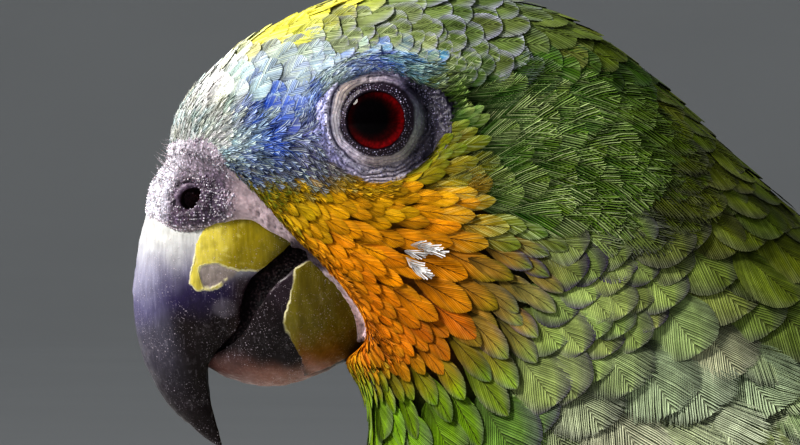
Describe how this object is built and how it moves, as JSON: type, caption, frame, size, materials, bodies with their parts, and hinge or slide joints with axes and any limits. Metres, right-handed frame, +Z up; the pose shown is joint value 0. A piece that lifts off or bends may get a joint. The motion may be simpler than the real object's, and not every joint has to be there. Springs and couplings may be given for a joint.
{
  "type": "orange-winged amazon parrot",
  "caption": "Life-size still model of a green amazon parrot standing on both feet, wings folded, with a hooked bill, red eyes, blue and yellow face and orange cheeks.",
  "frame": {"origin": "on the floor, under the middle of the bird's outer box", "axes": "+Z up, the bird faces -Y, its left side is +X, and its body runs back and down along +Y to the tail"},
  "size_m": [0.0886, 0.285, 0.1858],
  "materials": {
    "head_plumage": "small soft feathers: blue lores and brow, yellow crown and cheek, orange towards the throat",
    "neck_plumage": "rounded green feathers with dusky violet edges, orange tips on the lower cheek",
    "body_plumage": "green body feathers, paler and yellower below",
    "wing_plumage": "green wing coverts with darker edges",
    "flight_plumage": "green and blue-black flight feathers with an orange-red patch",
    "tail_plumage": "green tail feathers with yellow-green ends and orange-red bases",
    "bill": "horn: white and ochre at the root, slate grey to black at the tip, with flaked layers",
    "cere": "pimpled grey-mauve skin",
    "mouth": "dark moist tongue",
    "lids": "pale wrinkled bare skin with a dark beaded margin",
    "eye": "wet dark red iris round a black pupil",
    "scaly_skin": "grey scaly skin of shanks and toes",
    "claw": "dark horn"
  },
  "bodies": {
    "root": {"bill_lower": "bill", "bill_upper": "bill", "cere": "cere", "claw_inner_back_left": "claw", "claw_inner_back_right": "claw", "claw_inner_front_left": "claw", "claw_inner_front_right": "claw", "claw_outer_back_left": "claw", "claw_outer_back_right": "claw", "claw_outer_front_left": "claw", "claw_outer_front_right": "claw", "eye_left": "eye", "eye_right": "eye", "eyelids_left": "lids", "eyelids_right": "lids", "foot_left": "scaly_skin", "foot_right": "scaly_skin", "head": "head_plumage", "neck": "neck_plumage", "shank_left": "scaly_skin", "shank_right": "scaly_skin", "tail": "tail_plumage", "thigh_left": "body_plumage", "thigh_right": "body_plumage", "toe_inner_back_left": "scaly_skin", "toe_inner_back_right": "scaly_skin", "toe_inner_front_left": "scaly_skin", "toe_inner_front_right": "scaly_skin", "toe_outer_back_left": "scaly_skin", "toe_outer_back_right": "scaly_skin", "toe_outer_front_left": "scaly_skin", "toe_outer_front_right": "scaly_skin", "tongue": "mouth", "trunk": "body_plumage", "wing_coverts_left": "wing_plumage", "wing_coverts_right": "wing_plumage", "wing_primaries_left": "flight_plumage", "wing_primaries_right": "flight_plumage", "wing_secondaries_left": "flight_plumage", "wing_secondaries_right": "flight_plumage"}
  },
  "joints": []
}
